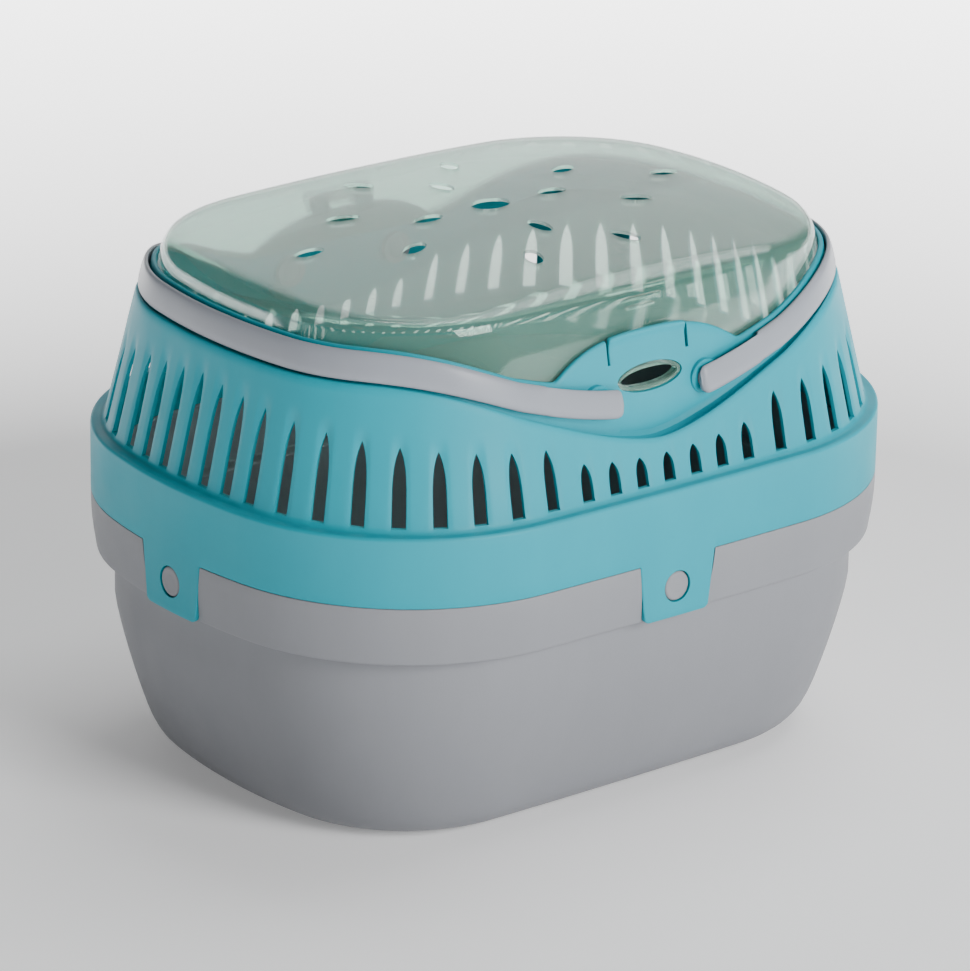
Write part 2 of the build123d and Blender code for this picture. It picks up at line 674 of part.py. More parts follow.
def lid():
    """Clear lid: domed top and skirt, vents, latch nose, grip bars and hinge knuckle."""
    shell = dome(0) - dome(LID_WALL)
    trim = saddle(lid_low_front, lambda x: LID_TOP + 20)
    tongue = block(
        -TONGUE_HALF, TONGUE_HALF, -HALF_WIDTH, -HALF_WIDTH + COLLAR_INSET + 14, TONGUE_LOW, LID_MIDDLE_LOW + 2
    )
    body = shell & (trim + tongue)
    vents = [vent(0, 0, 0, MIDDLE_VENT_LENGTH)]
    for i in range(4):
        turn = radians(90 * i)
        vents.append(vent(INNER_RING * cos(turn), INNER_RING * sin(turn), 90 * i, VENT_LENGTH))
    for i in range(8):
        angle = 22.5 + 45 * i
        turn = radians(angle)
        vents.append(vent(OUTER_RING * cos(turn), OUTER_RING * sin(turn), angle, VENT_LENGTH))
    for side in (-1, 1):
        vents.append(vent(side * END_VENT, 0, 0, VENT_LENGTH))
    body = body - vents
    face = -panel_face(NOSE_HEIGHT)
    gap = NOSE_CLEARANCE
    nose = upright_oval(
        NOSE_HALF_LENGTH - gap, NOSE_HALF_HEIGHT - gap, NOSE_HEIGHT, face + 0.4, face + COLLAR_WALL + LID_GAP + 1
    )
    bore = upright_oval(
        NOSE_HALF_LENGTH - gap - NOSE_WALL, NOSE_HALF_HEIGHT - gap - NOSE_WALL, NOSE_HEIGHT, face - 5, face + 12
    )
    body = body + nose - bore
    for i, length in enumerate(GRIP_LENGTHS):
        z = GRIP_TOP - GRIP_PITCH * i
        y = -HALF_WIDTH + lid_inset(z) + max(0.0, 0.3 * (z - SHOULDER_HEIGHT))
        body = body + rod(GRIP_RADIUS, (-length / 2, y, z), (length / 2, y, z))
    arm = block(
        -HINGE_MIDDLE_HALF, HINGE_MIDDLE_HALF, panel_face(HINGE_HEIGHT) - COLLAR_WALL - LID_GAP - 1.2, HINGE_Y,
        HINGE_HEIGHT, HINGE_HEIGHT + HINGE_RADIUS,
    )
    knuckle = hinge_knuckle(-HINGE_MIDDLE_HALF, HINGE_MIDDLE_HALF)
    bore = rod(
        HINGE_PIN_RADIUS + RUNNING_CLEARANCE,
        (-HINGE_MIDDLE_HALF - 1, HINGE_Y, HINGE_HEIGHT), (HINGE_MIDDLE_HALF + 1, HINGE_Y, HINGE_HEIGHT),
    )
    return body + arm + knuckle - bore


def hinge_pin():
    """Headed pin through the three knuckles."""
    reach = HINGE_MIDDLE_HALF + HINGE_SIDE_GAP + HINGE_END_WIDTH
    pin = rod(HINGE_PIN_RADIUS, (-reach, HINGE_Y, HINGE_HEIGHT), (reach + 0.5, HINGE_Y, HINGE_HEIGHT))
    head = rod(
        HINGE_HEAD_RADIUS, (-reach - HINGE_HEAD, HINGE_Y, HINGE_HEIGHT), (-reach, HINGE_Y, HINGE_HEIGHT)
    )
    return pin + head


def handle_strip(end):
    """Face in the XZ plane of one arm of the left handle, out to the left end, with a round front end."""
    half = HANDLE_HEIGHT / 2
    centre_x = -end - half
    xs = [-HALF_LENGTH + (HALF_LENGTH + centre_x) * i / 12 for i in range(13)]
    under = [(x, 0, handle_line(x)) for x in xs]
    over = [(x, 0, handle_line(x) + HANDLE_HEIGHT) for x in xs]
    strip = make_face(Wire([Spline(*under), Line(under[-1], over[-1]), Spline(*over), Line(over[0], under[0])]))
    tip = Pos(centre_x, 0, handle_line(centre_x) + half) * Rot(90, 0, 0) * Circle(half)
    return strip, tip


def left_handle():
    """Left bow: it follows the wall between the rim and the collar, with a peg at each end."""
    high = HANDLE_LOW + HANDLE_RISE + HANDLE_HEIGHT + 1
    low = HANDLE_LOW - 3
    outer = [(wall_inset(low), low), (wall_inset(high), high)]
    inner = [(collar_inset(z) - HANDLE_GAP, z) for z in heights(COLLAR_LEAN_START, high, 6)]
    band = ring([
        outer,
        [outer[1], inner[-1]],
        inner[::-1],
        [inner[0], (COLLAR_INSET - HANDLE_GAP, low)],
        [(COLLAR_INSET - HANDLE_GAP, low), outer[0]],
    ])
    arms = []
    for y, end in ((-1, HANDLE_LONG_END), (1, HANDLE_SHORT_END)):
        for face in handle_strip(end):
            arms.append(extrude(face, WIDTH, dir=(0, y, 0)))
    bow = band & (arms[0] + arms[1] + arms[2] + arms[3])
    inside = BOSS_FACE + CLEARANCE
    bow = bow - block(-2 * PIVOT_X, 0, -inside, inside, low - 5, high + 5)
    for y in (-1, 1):
        peg = rod(
            PEG_RADIUS - RUNNING_CLEARANCE,
            (-PIVOT_X, y * (BOSS_BACK - CLEARANCE - CAP_THICKNESS), PIVOT_HEIGHT),
            (-PIVOT_X, y * (inside + 1), PIVOT_HEIGHT),
        )
        bow = bow + peg
    return bow


def pivot_cap(x, y):
    """Cap pressed on a handle's peg inside the panel."""
    near = BOSS_BACK - CLEARANCE
    far = near - CAP_THICKNESS
    cap = rod(CAP_RADIUS, (x, y * near, PIVOT_HEIGHT), (x, y * far, PIVOT_HEIGHT))
    bore = rod(PEG_RADIUS - RUNNING_CLEARANCE, (x, y * (near + 2), PIVOT_HEIGHT), (x, y * (far - 2), PIVOT_HEIGHT))
    return cap - bore


def main():
    """Write every piece to its own file."""
    bow = left_handle()
    pieces = {
        "tub": tub(),
        "housing": housing(),
        "lid": lid(),
        "lid_hinge_pin": hinge_pin(),
        "latch_tab": latch_tab(),
        "left_handle": bow,
        "right_handle": turned(bow),
    }
    for side in ("front", "right", "back", "left"):
        pieces["snap_tab_" + side] = on_side(snap_tab(), side)
    for name, x in (("left", -PIVOT_X), ("right", PIVOT_X)):
        for place, y in (("front", -1), ("back", 1)):
            pieces["pivot_cap_" + name + "_" + place] = pivot_cap(x, y)
    os.makedirs("parts", exist_ok=True)
    for name, piece in pieces.items():
        export_step(piece, "parts/" + name + ".step")


main()
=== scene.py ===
"""Small pet carrier: a grey tub, a teal slotted housing, a clear domed lid and two swing-up handles.

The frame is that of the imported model: +X along the long axis, -Y the front with the latch, +Z up.
Sizes are in millimetres and become metres where points are made.
"""

from math import atan2, cos, exp, hypot, pi, radians, sin, sqrt

import bmesh
import bpy
from mathutils import Matrix, Vector


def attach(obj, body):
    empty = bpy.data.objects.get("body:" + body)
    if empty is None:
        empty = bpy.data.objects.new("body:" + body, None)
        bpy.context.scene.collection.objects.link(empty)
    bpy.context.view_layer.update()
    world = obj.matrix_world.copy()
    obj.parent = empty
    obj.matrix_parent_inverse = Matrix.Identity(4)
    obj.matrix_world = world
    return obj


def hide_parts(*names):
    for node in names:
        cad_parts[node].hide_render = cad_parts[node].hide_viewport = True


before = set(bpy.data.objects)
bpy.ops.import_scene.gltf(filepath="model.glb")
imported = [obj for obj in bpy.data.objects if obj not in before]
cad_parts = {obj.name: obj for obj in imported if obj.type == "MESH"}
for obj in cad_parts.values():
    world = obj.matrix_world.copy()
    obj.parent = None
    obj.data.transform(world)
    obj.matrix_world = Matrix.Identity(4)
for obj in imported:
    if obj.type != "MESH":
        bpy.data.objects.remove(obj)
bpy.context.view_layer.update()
MM = 0.001
SIDES = ("front", "right", "back", "left")


# Materials

PLASTIC_IOR = 1.49


def put(node, values):
    """Set inputs of a node, by name or number."""
    for key, value in values.items():
        node.inputs[key].default_value = value


def add(tree, kind, values=None, **settings):
    """A new node with its settings and the values of its inputs."""
    node = tree.nodes.new(kind)
    for key, value in settings.items():
        setattr(node, key, value)
    put(node, values or {})
    return node


def new_material(name):
    """A new material with its node tree and its Principled shader."""
    mat = bpy.data.materials.new(name)
    mat.use_nodes = True
    return mat, mat.node_tree, mat.node_tree.nodes["Principled BSDF"]


def noise(tree, scale, detail=3.0, roughness=0.5, stretch=(1, 1, 1)):
    """Noise in the object's own metres."""
    where = add(tree, "ShaderNodeTexCoord")
    place = add(tree, "ShaderNodeMapping", {"Scale": stretch})
    texture = add(tree, "ShaderNodeTexNoise", {"Scale": scale, "Detail": detail, "Roughness": roughness})
    tree.links.new(where.outputs["Object"], place.inputs["Vector"])
    tree.links.new(place.outputs["Vector"], texture.inputs["Vector"])
    return texture.outputs["Fac"]


def spread(tree, value, low, high, start=0.3, end=0.7, **settings):
    """The value's range from start to end, spread from low to high."""
    ranges = {"From Min": start, "From Max": end, "To Min": low, "To Max": high}
    node = add(tree, "ShaderNodeMapRange", ranges, **settings)
    tree.links.new(value, node.inputs["Value"])
    return node.outputs["Result"]


def two_tone(tree, value, dark, light, start=0.0, end=1.0):
    """A colour that goes from dark to light with the value."""
    ramp = add(tree, "ShaderNodeValToRGB")
    for element, place, colour in zip(ramp.color_ramp.elements, (start, end), (dark, light)):
        element.position = place
        element.color = (*colour, 1)
    tree.links.new(value, ramp.inputs["Fac"])
    return ramp.outputs["Color"]


def bump(tree, height, strength, distance):
    """A bump node over a height."""
    node = add(tree, "ShaderNodeBump", {"Strength": strength, "Distance": distance})
    tree.links.new(height, node.inputs["Height"])
    return node


def moulded(name, dark, light, rough, grain, grain_size=0.0011, coat=0.0):
    """Moulded plastic: slow colour drift, flow streaks, uneven polish, fine grain and slight waves."""
    mat, tree, shader = new_material(name)
    both = add(tree, "ShaderNodeMath", operation="ADD")
    tree.links.new(noise(tree, 14.0), both.inputs[0])
    tree.links.new(noise(tree, 60.0, 4.0, 0.6, (1, 1, 0.25)), both.inputs[1])
    half = add(tree, "ShaderNodeMath", {1: 0.5}, operation="MULTIPLY")
    tree.links.new(both.outputs[0], half.inputs[0])
    colour = two_tone(tree, half.outputs[0], dark, light, 0.3, 0.7)
    polish = spread(tree, noise(tree, 45.0, 4.0), rough - 0.05, rough + 0.06)
    fine = bump(tree, noise(tree, 1 / grain_size, 2.0, 0.6), grain, 0.00008)
    waves = bump(tree, noise(tree, 22.0, 1.0), 0.25, 0.0004)
    tree.links.new(fine.outputs["Normal"], waves.inputs["Normal"])
    tree.links.new(colour, shader.inputs["Base Color"])
    tree.links.new(polish, shader.inputs["Roughness"])
    tree.links.new(waves.outputs["Normal"], shader.inputs["Normal"])
    put(shader, {"IOR": PLASTIC_IOR, "Specular IOR Level": 0.25})
    put(shader, {"Coat Weight": coat, "Coat Roughness": 0.25})
    return mat


def clear(name):
    """Clear plastic with a faint green tint, polished, with very slight waves from the mould."""
    mat, tree, shader = new_material(name)
    tint = two_tone(tree, noise(tree, 12.0, 2.0), (0.36, 0.72, 0.56), (0.42, 0.76, 0.62))
    haze = spread(tree, noise(tree, 35.0), 0.02, 0.06)
    waves = bump(tree, noise(tree, 18.0, 1.0), 0.15, 0.0002)
    tree.links.new(tint, shader.inputs["Base Color"])
    tree.links.new(haze, shader.inputs["Roughness"])
    tree.links.new(waves.outputs["Normal"], shader.inputs["Normal"])
    put(shader, {"IOR": PLASTIC_IOR, "Specular Tint": (0.78, 0.95, 0.86, 1)})
    put(shader, {"Transmission Weight": 0.85, "Alpha": 0.62})
    return mat


TEAL = moulded("teal_moulding", (0.000, 0.248, 0.316), (0.000, 0.274, 0.346), 0.48, 0.25)
GREY = moulded("grey_moulding", (0.196, 0.203, 0.220), (0.211, 0.218, 0.236), 0.50, 0.35, 0.0009)
LILAC = moulded("handle_moulding", (0.215, 0.232, 0.262), (0.235, 0.252, 0.284), 0.38, 0.2, coat=0.06)
CLEAR = clear("clear_moulding")

looks = {"tub": GREY, "housing": TEAL, "lid": CLEAR, "lid_hinge_pin": GREY, "latch_tab": TEAL}
looks.update({"snap_tab_" + side: TEAL for side in SIDES})
for side in ("left", "right"):
    looks[side + "_handle"] = LILAC
    looks.update({f"pivot_cap_{side}_{end}": LILAC for end in ("front", "back")})


def dress(obj, mat):
    """Put one material on every slot of an object."""
    if not obj.material_slots:
        obj.data.materials.append(mat)
    for slot in obj.material_slots:
        slot.material = mat


for name, mat in looks.items():
    dress(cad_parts[name], mat)


# Plan: an oval of eight tangent arcs

LENGTH, WIDTH = 300.0, 230.0
HALF_X, HALF_Y = LENGTH / 2, WIDTH / 2
SIDE_RADIUS, END_RADIUS, CORNER_RADIUS = 2818.0, 249.0, 87.0


def corner_centre():
    """Centre of the corner arc in the +X +Y quarter."""
    side = (0.0, HALF_Y - SIDE_RADIUS)
    end = (HALF_X - END_RADIUS, 0.0)
    side_reach = SIDE_RADIUS - CORNER_RADIUS
    end_reach = END_RADIUS - CORNER_RADIUS
    apart = hypot(end[0] - side[0], end[1] - side[1])
    along = (side_reach**2 - end_reach**2 + apart**2) / (2 * apart)
    across = sqrt(side_reach**2 - along**2)
    ux, uy = (end[0] - side[0]) / apart, (end[1] - side[1]) / apart
    return (side[0] + along * ux + across * uy, side[1] + along * uy - across * ux)


def plan_arcs():
    """Centre, radius, start and sweep of the arcs, anticlockwise from the right end."""
    cx, cy = corner_centre()
    ex, sy = HALF_X - END_RADIUS, HALF_Y - SIDE_RADIUS
    end_half = atan2(cy, cx - ex)
    side_half = atan2(cx, cy - sy)
    corner = pi / 2 - end_half - side_half
    return [
        (ex, 0.0, END_RADIUS, -end_half, 2 * end_half),
        (cx, cy, CORNER_RADIUS, end_half, corner),
        (0.0, sy, SIDE_RADIUS, pi / 2 - side_half, 2 * side_half),
        (-cx, cy, CORNER_RADIUS, pi / 2 + side_half, corner),
        (-ex, 0.0, END_RADIUS, pi - end_half, 2 * end_half),
        (-cx, -cy, CORNER_RADIUS, pi + end_half, corner),
        (0.0, -sy, SIDE_RADIUS, 1.5 * pi - side_half, 2 * side_half),
        (cx, -cy, CORNER_RADIUS, 1.5 * pi + side_half, corner),
    ]


ARCS = plan_arcs()
ROUND = sum(radius * sweep for _, _, radius, _, sweep in ARCS)
RIGHT_MIDDLE = ARCS[0][2] * ARCS[0][4] / 2
BACK_MIDDLE = RIGHT_MIDDLE + ROUND / 4
LEFT_MIDDLE = RIGHT_MIDDLE + ROUND / 2
FRONT_MIDDLE = RIGHT_MIDDLE + ROUND * 3 / 4
MIDDLES = dict(zip(SIDES, (FRONT_MIDDLE, RIGHT_MIDDLE, BACK_MIDDLE, LEFT_MIDDLE)))


def column(s):
    """Place on the plan and outward direction, at a distance round it from where the right end starts."""
    s = s % ROUND
    for cx, cy, radius, start, sweep in ARCS:
        if s <= radius * sweep + 1e-9:
            angle = start + s / radius
            nx, ny = cos(angle), sin(angle)
            return cx + radius * nx, cy + radius * ny, nx, ny
        s -= radius * sweep
    return column(0.0)


def inward(col, inset, z):
    """Point at an inset from the plan, in metres."""
    x, y, nx, ny = col
    return ((x - nx * inset) * MM, (y - ny * inset) * MM, z * MM)


def apart_on_plan(a, b):
    """The shorter way round the plan between two distances."""
    return min(abs(a - b), ROUND - abs(a - b))


# Numbers

def soft_max(a, b, width):
    """The greater of two values, rounded where they cross."""
    return (a + b + sqrt((a - b) ** 2 + width**2)) / 2


def mix(a, b, t):
    """From the first value to the second as t goes from 0 to 1."""
    return a + (b - a) * t


def ease(t):
    """From 0 to 1 with a soft start and end."""
    t = max(0.0, min(1.0, t))
    return t * t * (3 - 2 * t)


def spaced(low, high, count):
    """Evenly spaced values, both ends included."""
    return [low + (high - low) * i / (count - 1) for i in range(count)]


def quarter_round(radius, away):
    """How far a rounded corner lies back from its edge, at a distance from its end."""
    return radius - sqrt(max(0.0, radius**2 - max(0.0, radius - away) ** 2))


# Heights of the edges along X, and insets of the walls from the plan

JOINT, BELT_TOP = 104.8, 132.0
BAND_LOW, LEAN_TOP = 82.0, 62.0
WAVE_REACH = HALF_X * 0.88
RIM_LOW, RIM_RISE = 150.0, 34.0
HANDLE_LOW, HANDLE_RISE = 158.3, 26.5
COLLAR_LOW, COLLAR_RISE = 170.0, 26.0
ARCH_TOP, ARCH_HALF, ARCH_DROP = 188.5, 43.0, 11.0
BELT_WALL, WALL, TUB_WALL, LID_WALL = 2.2, 2.0, 2.4, 1.3
WALL_INSET, COLLAR_INSET, TUB_INSET = 4.9, 18.0, 8.9


def wave(x, power):
    """From 0 in the middle to 1 at the ends."""
    return sin(pi * min(abs(x), WAVE_REACH) / (2 * WAVE_REACH)) ** power


def rim_line(x):
    """Height of the rim's step, low in the middle."""
    return RIM_LOW + RIM_RISE * wave(x, 1.6)


def handle_line(x):
    """Height of the handles' underside."""
    return HANDLE_LOW + HANDLE_RISE * wave(x, 2)


def collar_line(x):
    """Height of the collar's lip beside the panels."""
    return COLLAR_LOW + COLLAR_RISE * wave(x, 2)


def arch_line(x):
    """Height of the arched panel in the middle of the front and back."""
    return ARCH_TOP - ARCH_DROP * abs(x / ARCH_HALF) ** 2.9


def wall_inset(z):
    """Outer face of the slotted wall, which leans in."""
    return WALL_INSET + 0.245 * (z - BELT_TOP)


def collar_inset(z):
    """Outer face of the collar, which curves in above the rim."""
    return COLLAR_INSET + 0.0468 * max(0.0, z - 160.0) ** 1.34


def tub_inset(z):
    """Outer face of the tub: it leans in on the way down and is rounded at the foot."""
    share = max(0.0, 1 - z / LEAN_TOP)
    return TUB_INSET + 17.5 * share**1.25 + 13.6 * exp(-z / 4.0)


# Places of the fittings

TAB_ROOT, TAB_LENGTH, TAB_THICK = JOINT + 1.6, 24.9, 2.1
TAB_TIP = TAB_ROOT - TAB_LENGTH
TAB_TOP_HALF, TAB_TIP_HALF, TAB_LEAN = 18.3, 15.4, 0.1164
STUD_Z = JOINT - 11.3
PIVOT_X, PIVOT_Z, PEG, PEG_HOLE, BOSS = 26.0, 166.1, 3.92, 4.1, 6.6
HINGE_Y, HINGE_Z, PIN_HOLE, KNUCKLE = 97.0, 192.4, 1.65, 3.2
LID_KNUCKLE, HOUSING_KNUCKLE = 13.2, 7.2
NOSE_Z, NOSE_HALF_X, NOSE_HALF_Z = 171.0, 15.0, 5.0
LATCH_ROOT, LATCH_HALF = 178.4, 18.4


# Mesh helpers

def make(name, verts, faces, mat, sharp=40.0):
    """A piece from its points and faces, smooth apart from edges over the given angle."""
    mesh = bpy.data.meshes.new(name)
    mesh.from_pydata(verts, [], faces)
    mesh.validate()
    obj = bpy.data.objects.new(name, mesh)
    bpy.context.scene.collection.objects.link(obj)
    obj.data.materials.append(mat)
    tidy(obj, sharp)
    return obj


def tidy(obj, sharp):
    """Face the normals outwards and shade smooth with sharp edges over an angle."""
    work = bmesh.new()
    work.from_mesh(obj.data)
    bmesh.ops.recalc_face_normals(work, faces=work.faces)
    for edge in work.edges:
        edge.smooth = len(edge.link_faces) == 2 and edge.calc_face_angle(0) < radians(sharp)
    for face in work.faces:
        face.smooth = True
    work.to_mesh(obj.data)
    work.free()


def loops(rows, closed_ring=True, closed_section=True):
    """Points and faces of a grid of sections, each a list of points, carried one to the next."""
    count, size = len(rows), len(rows[0])
    faces = []
    for i in range(count if closed_ring else count - 1):
        j = (i + 1) % count
        for k in range(size if closed_section else size - 1):
            m = (k + 1) % size
            faces.append((i * size + k, i * size + m, j * size + m, j * size + k))
    return [p for row in rows for p in row], faces


def solid_through(rows):
    """Solid through a row of closed sections, with flat ends."""
    verts, faces = loops(rows, False, True)
    size = len(rows[0])
    faces.append(tuple(range(size)))
    faces.append(tuple(range(len(verts) - size, len(verts)))[::-1])
    return verts, faces


def lathe(start, direction, side, sections, turns=40, hollow=False):
    """Round solid from (distance along the axis, radius) points. A hollow one has a closed section."""
    origin, direction = Vector(start), Vector(direction).normalized()
    across = Vector(side).normalized()
    other = direction.cross(across)
    rows = []
    for i in range(turns):
        turn = 2 * pi * i / turns
        out = across * cos(turn) + other * sin(turn)
        rows.append([tuple((origin + direction * d + out * r) * MM) for d, r in sections])
    verts, faces = loops(rows, True, hollow)
    if not hollow:
        size = len(sections)
        faces.append(tuple(i * size for i in range(turns))[::-1])
        faces.append(tuple(i * size + size - 1 for i in range(turns)))
    return verts, faces


def prism(outline, far):
    """Solid between a closed outline of points and the same outline moved by a vector, all in metres."""
    size = len(outline)
    points = [tuple(p) for p in outline]
    points += [tuple(Vector(p) + Vector(far)) for p in outline]
    polygons = [tuple(range(size)), tuple(range(2 * size - 1, size - 1, -1))]
    for i in range(size):
        j = (i + 1) % size
        polygons.append((i, i + size, j + size, j))
    return points, polygons


def oval(half_x, half_z, x, z, y0, y1, count=48):
    """Upright oval plug along Y between two places."""
    outline = []
    for i in range(count):
        turn = 2 * pi * i / count
        outline.append(((x + half_x * cos(turn)) * MM, y0 * MM, (z + half_z * sin(turn)) * MM))
    return prism(outline, (0, (y1 - y0) * MM, 0))


def block(x0, x1, y0, y1, z0, z1):
    """Upright block between two places on each axis."""
    outline = [(x0, y0, z0), (x1, y0, z0), (x1, y1, z0), (x0, y1, z0)]
    return prism([tuple(v * MM for v in p) for p in outline], (0, 0, (z1 - z0) * MM))


def sided(points, side):
    """Points made at the front, moved to one of the four sides."""
    reach = HALF_X if side in ("left", "right") else HALF_Y
    spin = Matrix.Rotation(radians(90 * SIDES.index(side)), 3, "Z")
    return [tuple(spin @ Vector((x, y + (HALF_Y - reach) * MM, z))) for x, y, z in points]


def merged(solids):
    """Several solids as one list of points and one of faces."""
    verts, faces = [], []
    for points, polygons in solids:
        start = len(verts)
        verts += points
        faces += [tuple(start + i for i in polygon) for polygon in polygons]
    return verts, faces


def carve(obj, cutters, operation="DIFFERENCE", sharp=32.0):
    """Boolean with one mesh made of all the cutters, then the result kept as the piece's own mesh."""
    tool = make(obj.name + "_cut", *merged(cutters), obj.data.materials[0])
    change = obj.modifiers.new("carve", "BOOLEAN")
    change.operation = operation
    change.solver = "EXACT"
    change.object = tool
    bpy.context.view_layer.update()
    graph = bpy.context.evaluated_depsgraph_get()
    mesh = bpy.data.meshes.new_from_object(obj.evaluated_get(graph))
    obj.modifiers.clear()
    old = obj.data
    obj.data = mesh
    bpy.data.meshes.remove(old)
    bpy.data.objects.remove(tool)
    tidy(obj, sharp)


def settle(piece, node, body):
    """Let a piece stand for a node and ride on its body."""
    if node:
        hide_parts(node)
    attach(piece, body)


# Air slots

SIDE_PITCH, END_PITCH, LONG_GAPS = 12.95, 12.87, 9
SHORT_TOP, LONG_TOP = 144.4, 155.9
SLOT_FOOT, SLOT_HALF = 133.7, 2.7
FLUTE_INSET = 8


def air_slots():
    """Distance round the plan and top of every air slot: one quarter's run, mirrored to the others."""
    quarter = ROUND / 4
    pitch = (quarter - 3 * (SIDE_PITCH + END_PITCH)) / LONG_GAPS
    run = [SIDE_PITCH * i for i in range(4)]
    run += [3 * SIDE_PITCH + pitch * (i + 1) for i in range(LONG_GAPS)]
    run += [quarter - END_PITCH * i for i in (2, 1, 0)]
    slots = []
    for i, s in enumerate(run):
        top = SHORT_TOP + 0.35 * i**2 if i <= 3 else LONG_TOP + 0.101 * (s - run[4])
        place = BACK_MIDDLE - s
        for way in (place, 2 * RIGHT_MIDDLE - place, 2 * BACK_MIDDLE - place, place + ROUND / 2):
            way = way % ROUND
            if all(apart_on_plan(way, other[0]) > 1 for other in slots):
                slots.append((way, top))
    return sorted(slots)


SLOTS = air_slots()


def flute(col, s):
    """Sideways distance from the nearest air slot's middle, and that slot's top."""
    away, way, top = min((apart_on_plan(s, w), w, t) for w, t in SLOTS)
    if away > 12:
        return 99.0, top
    x, y, nx, ny = column(way)
    px, py = col[0] - col[2] * FLUTE_INSET - x, col[1] - col[3] * FLUTE_INSET - y
    return abs(-px * ny + py * nx), top


def wall_outer(z, aside, top):
    """Outer face of the slotted wall, rounded into the ledge, with soft flutes round the slots."""
    base = wall_inset(z) - 0.9 * max(0.0, 1 - (z - BELT_TOP) / 1.4) ** 2
    half = mix(4.9, 4.0, min(1.0, (z - BELT_TOP) / (top - BELT_TOP)))
    if aside >= half:
        return base
    deep = 0.95 * ease((z - BELT_TOP - 0.4) / 3) * (1 - ease((z - top + 3) / 9))
    return base + deep * (1 - (aside / half) ** 2) ** 2


def slot_cutter(way, top):
    """Blade-shaped opening: square foot, sides that meet in a point."""
    x, y, nx, ny = column(way)
    outline = []
    for share in (0.0, 0.3, 0.5, 0.65, 0.75, 0.83, 0.89, 0.94, 0.98):
        outline.append((SLOT_HALF * (1 - share**5), SLOT_FOOT + share * (top - SLOT_FOOT)))
    outline.append((0.0, top))
    outline += [(-u, z) for u, z in outline[-2::-1]]
    points = [((x + nx * 4 - ny * u) * MM, (y + ny * 4 + nx * u) * MM, z * MM) for u, z in outline]
    return prism(points, (-nx * 32 * MM, -ny * 32 * MM, 0))


# Housing

def belt_face(over_tab):
    """Belt's outer face; its lower edge is rounded, but square where a tab hangs from it."""
    edge = 0.0 if over_tab else 0.45
    points = [(edge, JOINT), (edge / 3, JOINT + 0.15), (0, JOINT + 0.5), (0, 110.0), (0, 118.0), (0, 126.0)]
    points += [(0, BELT_TOP - 1.4), (0.1, BELT_TOP - 0.85), (0.4, BELT_TOP - 0.4), (0.85, BELT_TOP - 0.1)]
    return points + [(1.3, BELT_TOP), (BELT_WALL, BELT_TOP)]


def wall_face(rim, aside, slot_top):
    """Ledge over the belt, slotted wall and the rim's rounded edge."""
    foot = wall_outer(BELT_TOP, aside, slot_top)
    points = [(foot - 0.5, BELT_TOP), (foot, BELT_TOP + 0.1)]
    low, high = BELT_TOP + 0.35, rim - 1.5
    for i in range(30):
        z = low + (high - low) * (i / 29) ** 1.25
        points.append((wall_outer(z, aside, slot_top), z))
    edge = wall_inset(rim)
    points += [(edge, rim - 0.9), (edge + 0.25, rim - 0.4)]
    return points + [(edge + 0.7, rim - 0.08), (edge + 1.2, rim)]


def rim_step(rim):
    """Step that the handles lie in: a shallow dip between the wall's edge and the collar."""
    edge, back = wall_inset(rim) + 1.2, collar_inset(rim)
    dip = 1.5 * min(1.0, (back - edge) / 6)
    points = [(mix(edge, back, t), rim - dip * sin(pi * t * 0.9)) for t in (0.15, 0.35, 0.6, 0.85)]
    return points + [(back, rim + 0.7)]


def collar_faces(rim, top):
    """Collar: up its outer face, over the rounded lip and down its inner face."""
    points = [(collar_inset(z), z) for z in spaced(rim + 2.0, top - 0.8, 9)]
    lip = collar_inset(top)
    points += [(lip + 0.15, top - 0.35), (lip + 0.6, top - 0.05)]
    points += [(lip + 1.4, top - 0.05), (lip + 1.85, top - 0.35)]
    return points + [(collar_inset(z) + WALL, z) for z in spaced(top - 0.8, rim - 1.5, 9)]


def inner_faces(rim):
    """Under the rim, down the wall, out under the ledge and down the belt."""
    back, under = collar_inset(rim), rim - 3.6
    wall = wall_inset(under) + WALL
    points = [(back + 1.6, under + 0.5), (back + 0.8, under)]
    points += [(mix(wall, back, 0.4), under), (wall + 0.5, under)]
    points += [(wall_inset(z) + WALL, z) for z in spaced(under - 0.8, BELT_TOP - 1, 10)]
    points += [(6.4, BELT_TOP - 1.8), (5.9, BELT_TOP - 2.2), (4.4, BELT_TOP - 2.4), (2.9, BELT_TOP - 2.4)]
    points += [(BELT_WALL + 0.1, BELT_TOP - 3), (BELT_WALL, 120.0), (BELT_WALL, 112.0)]
    return points + [(BELT_WALL, JOINT + 0.5), (BELT_WALL - 0.2, JOINT + 0.1), (BELT_WALL - 0.6, JOINT)]


def housing_section(col, s):
    """Closed section of the housing: (inset, height) points up the outside and down the inside."""
    rim = rim_line(col[0])
    top = soft_max(collar_line(col[0]), arch_line(col[0]), 1.2)
    over_tab = any(abs(s - middle) < TAB_TOP_HALF - 0.1 for middle in MIDDLES.values())
    outside = belt_face(over_tab) + wall_face(rim, *flute(col, s)) + rim_step(rim)
    return outside + collar_faces(rim, top) + inner_faces(rim)


def pivot_bosses():
    """Four rings round the pivot holes, a little proud of the collar's faces."""
    ring = [(0, PEG_HOLE), (0, BOSS - 0.4), (0.4, BOSS), (4.0, BOSS), (4.4, BOSS - 0.4), (4.4, PEG_HOLE)]
    return [lathe((x, y * 93.2, PIVOT_Z), (0, y, 0), (1, 0, 0), ring, hollow=True)
            for x in (-PIVOT_X, PIVOT_X) for y in (-1, 1)]


def knuckle(length):
    """Outside of a hinge knuckle with chamfered ends, as (distance along the pin, radius) points."""
    return [(0, KNUCKLE - 0.4), (0.4, KNUCKLE), (length - 0.4, KNUCKLE), (length, KNUCKLE - 0.4)]


